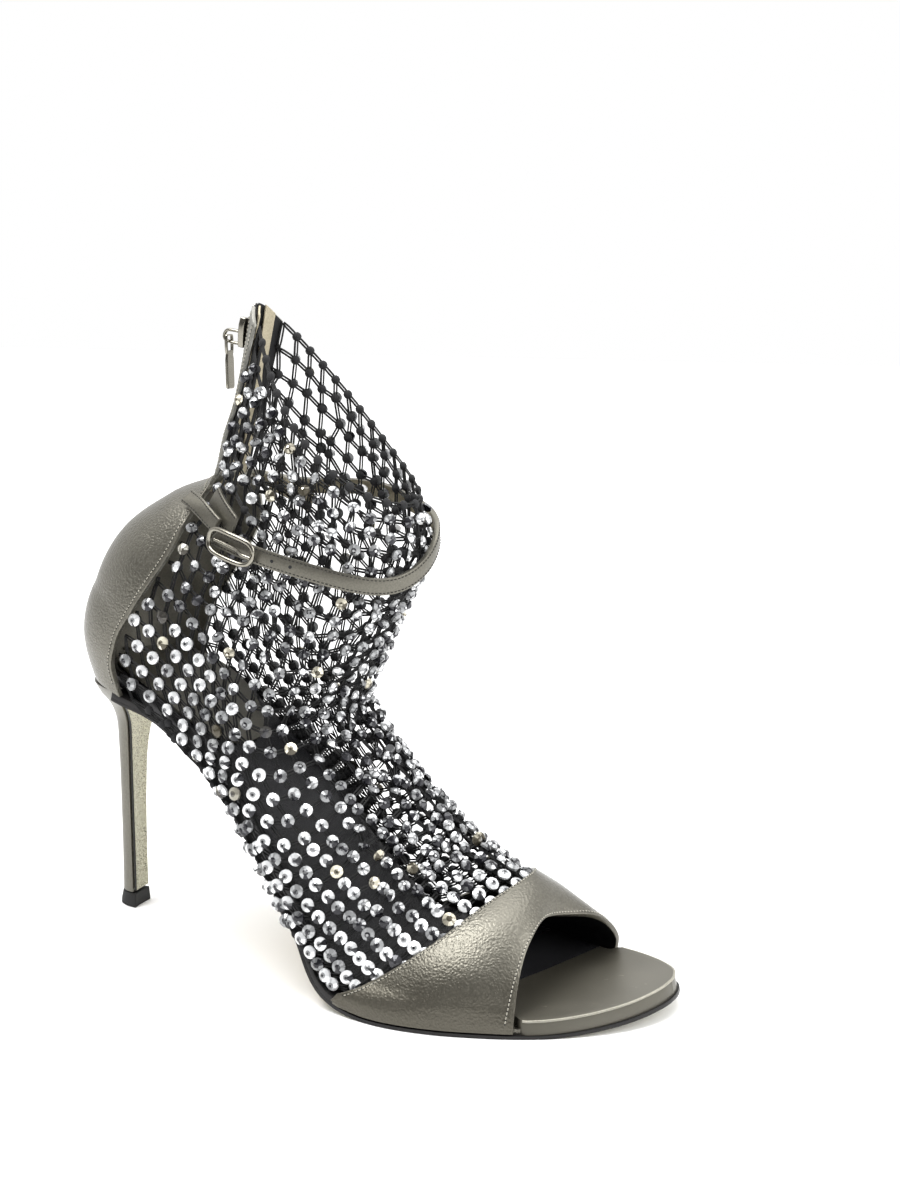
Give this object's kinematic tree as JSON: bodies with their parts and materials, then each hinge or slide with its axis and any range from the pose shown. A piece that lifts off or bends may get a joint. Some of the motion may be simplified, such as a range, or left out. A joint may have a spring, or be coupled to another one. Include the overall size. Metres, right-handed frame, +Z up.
{
  "type": "peep-toe stiletto sandal with a slack net shaft",
  "caption": "right peep-toe stiletto sandal with an open net shaft, leather toe band and heel counter, back zip and buckled ankle strap",
  "frame": {"origin": "centre of the heel tip's tread, on the floor", "axes": "+X from the heel toward the toe, +Z up, -Y the lateral (outer) side of the right foot"},
  "size_m": [0.217, 0.0852, 0.22],
  "materials": {
    "pewter_leather": "metallic grained pewter leather",
    "black_net": "doubled black cord knotted to a net and set with stones",
    "black_satin": "smooth black sock lining, pewter leather at the open toe",
    "pewter_pad": "smooth pewter leather",
    "glitter_sole": "champagne glitter leather with a black painted edge",
    "rubber": "matt",
    "ruthenium": "polished dark nickel"
  },
  "bodies": {
    "shoe": {"outsole": "glitter_sole", "insole": "black_satin", "seat_pad": "pewter_pad", "vamp_band": "pewter_leather", "net_upper": "black_net", "counter": "pewter_leather", "zip_facing_lateral": "pewter_leather", "zip_facing_medial": "pewter_leather", "zip_chain": "ruthenium", "zip_slider": "ruthenium", "ankle_strap": "pewter_leather", "strap_anchor": "pewter_leather", "collar_tab_lateral": "pewter_leather", "collar_tab_medial": "pewter_leather", "buckle_frame": "ruthenium", "buckle_prong": "ruthenium", "heel": "pewter_leather", "heel_tip": "rubber", "breast_cover": "glitter_sole"},
    "pull": {"zip_pull": "ruthenium"}
  },
  "joints": [
    {"name": "pull_swing", "type": "hinge", "parent": "shoe", "child": "pull", "pos_m": [0.0494, 0, 0.2086], "axis": [0, 1, 0], "range_deg": [0, 150]}
  ]
}
